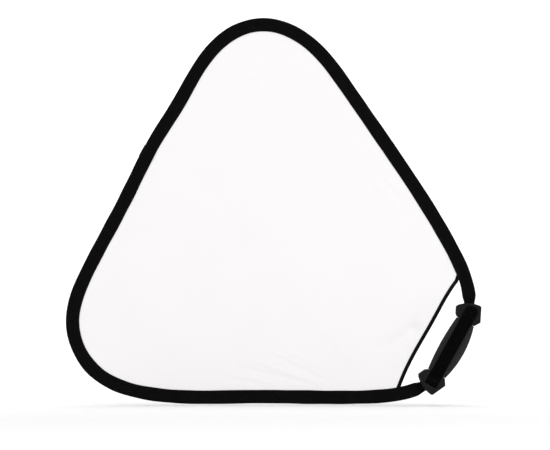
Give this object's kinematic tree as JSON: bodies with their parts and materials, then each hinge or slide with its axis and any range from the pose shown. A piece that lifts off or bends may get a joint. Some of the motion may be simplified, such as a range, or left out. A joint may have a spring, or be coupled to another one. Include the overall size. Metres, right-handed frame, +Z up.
{
  "type": "collapsible reflector",
  "caption": "Hand-held collapsible light reflector: cloth stretched in a sprung rim that folds over, with a moulded grip in one corner and a webbing hand strap.",
  "frame": {"origin": "below the middle of the rim in X, on the cloth's middle plane, at the rim's lowest level", "axes": "+Z up towards the top corner, +X towards the grip's corner, +Y from the white front face to the silver rear face"},
  "size_m": [0.7528, 0.0439, 0.6995],
  "materials": {
    "sleeve_tape": "matte",
    "spring_steel": "satin",
    "white_cloth": "matte",
    "silver_cloth": "satin",
    "ferrule_steel": "satin",
    "binding_tape": "matte",
    "handle_plastic": "matte",
    "grip_rubber": "matte",
    "guard_plastic": "satin",
    "clamp_metal": "satin",
    "black_screw": "satin",
    "pin_steel": "satin",
    "strap_web": "matte",
    "hook_tape": "matte",
    "loop_tape": "matte"
  },
  "bodies": {
    "base": {"rim_sleeve_base": "sleeve_tape", "spring_hoop_base": "spring_steel", "front_cloth_base": "white_cloth", "rear_cloth_base": "silver_cloth", "opening_binding": "binding_tape", "handle_front_shell": "handle_plastic", "handle_rear_shell": "handle_plastic", "grip_skin_front": "grip_rubber", "grip_skin_rear": "grip_rubber", "upper_guard": "guard_plastic", "lower_guard": "guard_plastic", "upper_hoop_clamp": "clamp_metal", "lower_hoop_clamp": "clamp_metal", "clamp_screws": "black_screw", "shell_screws": "black_screw", "guard_screws": "black_screw", "strap_anchor_pin": "pin_steel", "hook_patch": "hook_tape"},
    "fold_1": {"rim_sleeve_fold_1": "sleeve_tape", "spring_hoop_fold_1": "spring_steel", "front_cloth_fold_1": "white_cloth", "rear_cloth_fold_1": "silver_cloth"},
    "fold_2": {"rim_sleeve_fold_2": "sleeve_tape", "spring_hoop_fold_2": "spring_steel", "front_cloth_fold_2": "white_cloth", "rear_cloth_fold_2": "silver_cloth"},
    "fold_3": {"rim_sleeve_fold_3": "sleeve_tape", "spring_hoop_fold_3": "spring_steel", "front_cloth_fold_3": "white_cloth", "rear_cloth_fold_3": "silver_cloth"},
    "fold_4": {"rim_sleeve_fold_4": "sleeve_tape", "spring_hoop_fold_4": "spring_steel", "front_cloth_fold_4": "white_cloth", "rear_cloth_fold_4": "silver_cloth"},
    "fold_5": {"rim_sleeve_fold_5": "sleeve_tape", "spring_hoop_fold_5": "spring_steel", "front_cloth_fold_5": "white_cloth", "rear_cloth_fold_5": "silver_cloth"},
    "fold_6": {"rim_sleeve_fold_6": "sleeve_tape", "spring_hoop_fold_6": "spring_steel", "front_cloth_fold_6": "white_cloth", "rear_cloth_fold_6": "silver_cloth", "sleeve_lap": "sleeve_tape"},
    "fold_7": {"rim_sleeve_fold_7": "sleeve_tape", "spring_hoop_fold_7": "spring_steel", "front_cloth_fold_7": "white_cloth", "rear_cloth_fold_7": "silver_cloth", "hoop_splice_ferrule": "ferrule_steel"},
    "fold_8": {"rim_sleeve_fold_8": "sleeve_tape", "spring_hoop_fold_8": "spring_steel", "front_cloth_fold_8": "white_cloth", "rear_cloth_fold_8": "silver_cloth"},
    "fold_9": {"rim_sleeve_fold_9": "sleeve_tape", "spring_hoop_fold_9": "spring_steel", "front_cloth_fold_9": "white_cloth", "rear_cloth_fold_9": "silver_cloth"},
    "strap": {"strap_webbing": "strap_web"},
    "strap_tab": {"strap_tab": "strap_web", "loop_patch": "loop_tape"}
  },
  "joints": [
    {"name": "fold_1_bend", "type": "hinge", "parent": "base", "child": "fold_1", "pos_m": [0, 0, 0.251], "axis": [1, 0, 0], "range_deg": [-20, 20], "stiffness_Nm_per_rad": 4.5},
    {"name": "fold_2_bend", "type": "hinge", "parent": "fold_1", "child": "fold_2", "pos_m": [0, 0, 0.2876], "axis": [1, 0, 0], "range_deg": [-20, 20], "stiffness_Nm_per_rad": 4.5},
    {"name": "fold_3_bend", "type": "hinge", "parent": "fold_2", "child": "fold_3", "pos_m": [0, 0, 0.3242], "axis": [1, 0, 0], "range_deg": [-20, 20], "stiffness_Nm_per_rad": 4.5},
    {"name": "fold_4_bend", "type": "hinge", "parent": "fold_3", "child": "fold_4", "pos_m": [0, 0, 0.3608], "axis": [1, 0, 0], "range_deg": [-20, 20], "stiffness_Nm_per_rad": 4.5},
    {"name": "fold_5_bend", "type": "hinge", "parent": "fold_4", "child": "fold_5", "pos_m": [0, 0, 0.3974], "axis": [1, 0, 0], "range_deg": [-20, 20], "stiffness_Nm_per_rad": 4.5},
    {"name": "fold_6_bend", "type": "hinge", "parent": "fold_5", "child": "fold_6", "pos_m": [0, 0, 0.434], "axis": [1, 0, 0], "range_deg": [-20, 20], "stiffness_Nm_per_rad": 4.5},
    {"name": "fold_7_bend", "type": "hinge", "parent": "fold_6", "child": "fold_7", "pos_m": [0, 0, 0.4706], "axis": [1, 0, 0], "range_deg": [-20, 20], "stiffness_Nm_per_rad": 4.5},
    {"name": "fold_8_bend", "type": "hinge", "parent": "fold_7", "child": "fold_8", "pos_m": [0, 0, 0.5072], "axis": [1, 0, 0], "range_deg": [-20, 20], "stiffness_Nm_per_rad": 4.5},
    {"name": "fold_9_bend", "type": "hinge", "parent": "fold_8", "child": "fold_9", "pos_m": [0, 0, 0.5438], "axis": [1, 0, 0], "range_deg": [-20, 20], "stiffness_Nm_per_rad": 4.5},
    {"name": "strap_swing", "type": "hinge", "parent": "base", "child": "strap", "pos_m": [0.28444, -0.0155, 0.03872], "axis": [0.8738, 0, -0.4863], "range_deg": [0, 90], "stiffness_Nm_per_rad": 0.05},
    {"name": "strap_tab_peel", "type": "hinge", "parent": "strap", "child": "strap_tab", "pos_m": [0.34961, -0.021, 0.1558], "axis": [0.8738, 0, -0.4863], "range_deg": [0, 110], "stiffness_Nm_per_rad": 0.01}
  ],
  "couplings": [
    {"joint": "fold_2_bend", "follows": "fold_1_bend", "ratio": 1},
    {"joint": "fold_3_bend", "follows": "fold_1_bend", "ratio": 1},
    {"joint": "fold_4_bend", "follows": "fold_1_bend", "ratio": 1},
    {"joint": "fold_5_bend", "follows": "fold_1_bend", "ratio": 1},
    {"joint": "fold_6_bend", "follows": "fold_1_bend", "ratio": 1},
    {"joint": "fold_7_bend", "follows": "fold_1_bend", "ratio": 1},
    {"joint": "fold_8_bend", "follows": "fold_1_bend", "ratio": 1},
    {"joint": "fold_9_bend", "follows": "fold_1_bend", "ratio": 1}
  ]
}
